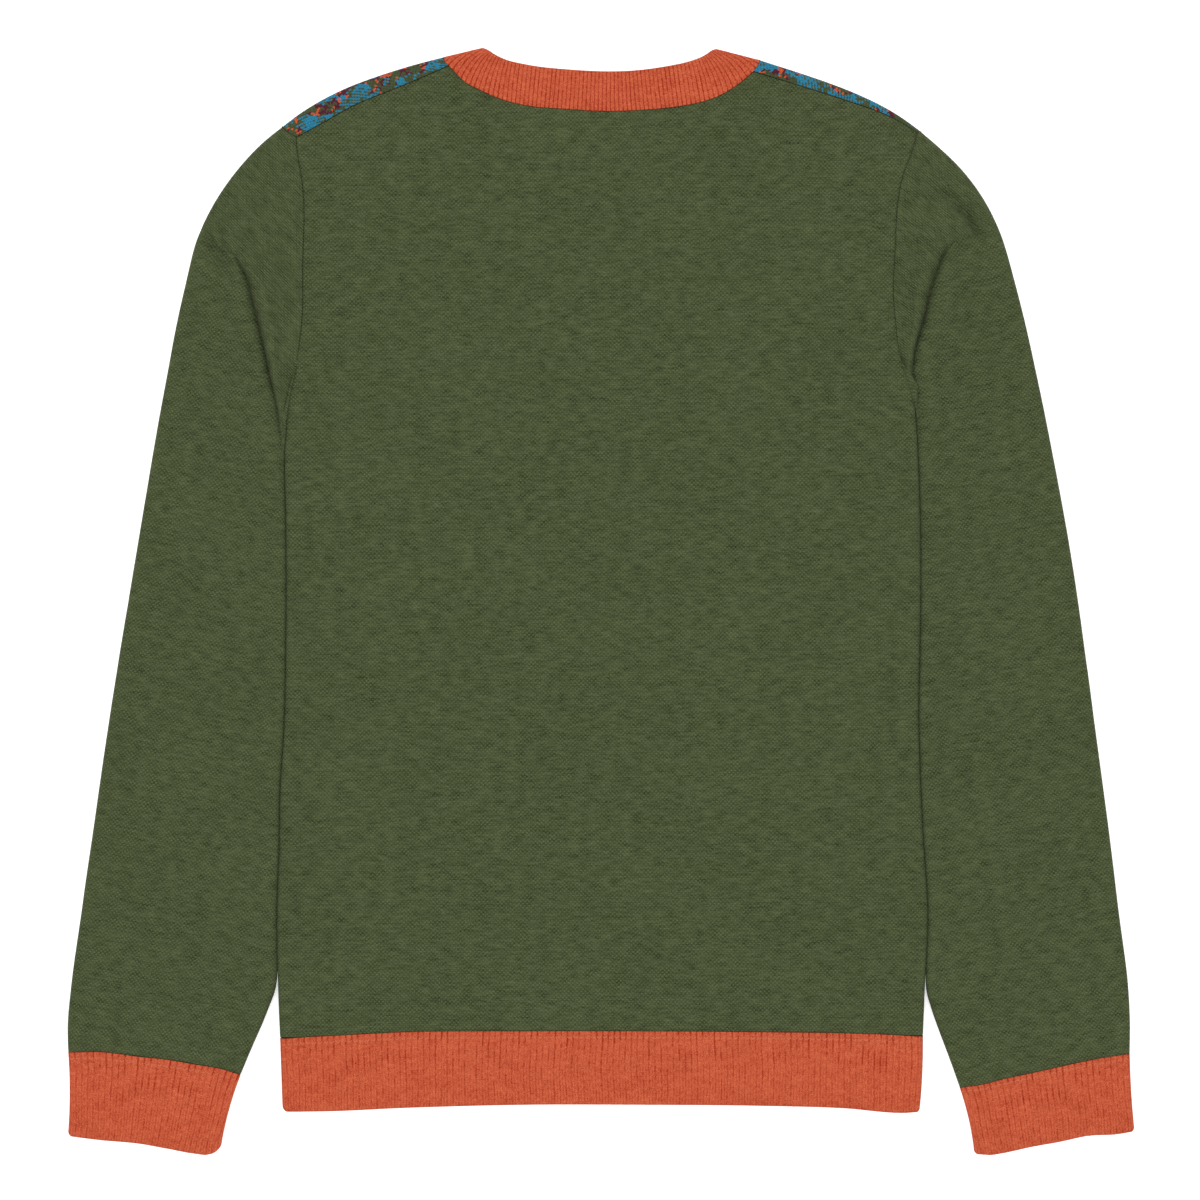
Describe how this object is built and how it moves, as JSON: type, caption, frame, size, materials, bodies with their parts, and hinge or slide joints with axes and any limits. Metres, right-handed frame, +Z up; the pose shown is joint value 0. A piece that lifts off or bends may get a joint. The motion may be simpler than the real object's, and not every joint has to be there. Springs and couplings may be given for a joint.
{
  "type": "patterned crew-neck sweater",
  "caption": "Long-sleeved fine-knit crew-neck sweater laid flat, back up: heathered olive knit, patterned front wrapped over the shoulders, terracotta rib neckband, cuffs and hem.",
  "frame": {"origin": "centre of the bounding box, at the underside that rests on the floor", "axes": "+X across the chest towards the wearer's right sleeve, +Y from the hem to the neck, +Z up from the floor, out of the sweater's back"},
  "size_m": [0.6816, 0.7087, 0.0072],
  "materials": {
    "olive_knit": "matte, heathered fine knit",
    "terracotta_rib": "matte, one-by-one rib knit",
    "patterned_knit": "matte, mottled multicolour fine knit"
  },
  "bodies": {
    "root": {"back_panel": "olive_knit", "front_panel": "patterned_knit", "sleeve_left": "olive_knit", "sleeve_right": "olive_knit", "neck_band": "terracotta_rib", "hem_band": "terracotta_rib", "cuff_left": "terracotta_rib", "cuff_right": "terracotta_rib"}
  },
  "joints": []
}
